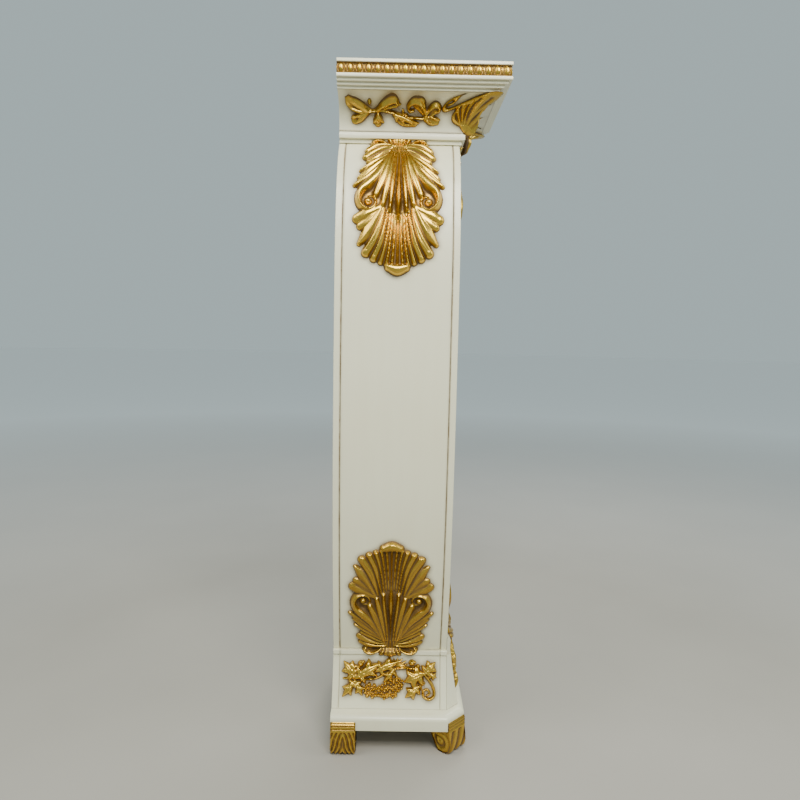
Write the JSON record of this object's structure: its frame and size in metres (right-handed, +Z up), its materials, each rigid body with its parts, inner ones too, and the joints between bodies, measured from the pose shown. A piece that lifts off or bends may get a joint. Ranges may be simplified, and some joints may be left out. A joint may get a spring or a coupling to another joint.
{
  "type": "pedestal column stand",
  "caption": "Tall column pedestal with bowed sides, a flat back, a square moulded capital, gilt leaf carvings and carved block feet, for a vase, lamp or statue.",
  "frame": {"origin": "middle of the stand's bounding box on the floor", "axes": "+Z up, -Y to the decorated front, +Y to the flat back, +X to the right as seen from the front"},
  "size_m": [0.327, 0.313, 1.3],
  "materials": {
    "ivory_lacquer": "semi-gloss antique ivory lacquer on wood, browned round the carvings and in the grooves",
    "gold_leaf": "carved wood with antique gold leaf, brown in the recesses",
    "bare_wood": "bare sawn wood, inside only",
    "steel_screw": "plain steel wood screws"
  },
  "bodies": {
    "root": {"top_board": "ivory_lacquer", "egg_band_left": "gold_leaf", "egg_band_front": "gold_leaf", "egg_band_right": "gold_leaf", "cornice_left": "ivory_lacquer", "cornice_front": "ivory_lacquer", "cornice_right": "ivory_lacquer", "cove_left": "ivory_lacquer", "cove_front": "ivory_lacquer", "cove_right": "ivory_lacquer", "neck_moulding_left": "ivory_lacquer", "neck_moulding_front": "ivory_lacquer", "neck_moulding_right": "ivory_lacquer", "cornice_core": "ivory_lacquer", "neck_core": "ivory_lacquer", "front_board": "ivory_lacquer", "back_board": "ivory_lacquer", "side_panel_left": "ivory_lacquer", "side_panel_right": "ivory_lacquer", "base_panel_left": "ivory_lacquer", "base_panel_right": "ivory_lacquer", "base_front_block": "ivory_lacquer", "plinth_board": "ivory_lacquer", "foot_back_left": "gold_leaf", "foot_back_right": "gold_leaf", "foot_front_left": "gold_leaf", "foot_front_right": "gold_leaf", "acanthus_left": "gold_leaf", "acanthus_front": "gold_leaf", "acanthus_right": "gold_leaf", "shell_left": "gold_leaf", "shell_front": "gold_leaf", "shell_right": "gold_leaf", "capital_scroll_left": "gold_leaf", "capital_scroll_front": "gold_leaf", "capital_scroll_right": "gold_leaf", "corner_leaf_left": "gold_leaf", "corner_leaf_right": "gold_leaf", "vine_plaque_left": "gold_leaf", "vine_plaque_front": "gold_leaf", "vine_plaque_right": "gold_leaf", "shaft_top_block": "bare_wood", "shaft_bottom_block": "bare_wood", "former_1": "bare_wood", "former_2": "bare_wood", "former_3": "bare_wood", "base_screw_1": "steel_screw", "base_screw_2": "steel_screw", "base_screw_3": "steel_screw", "base_screw_4": "steel_screw", "neck_screw_1": "steel_screw", "neck_screw_2": "steel_screw", "neck_screw_3": "steel_screw", "neck_screw_4": "steel_screw"}
  },
  "joints": []
}
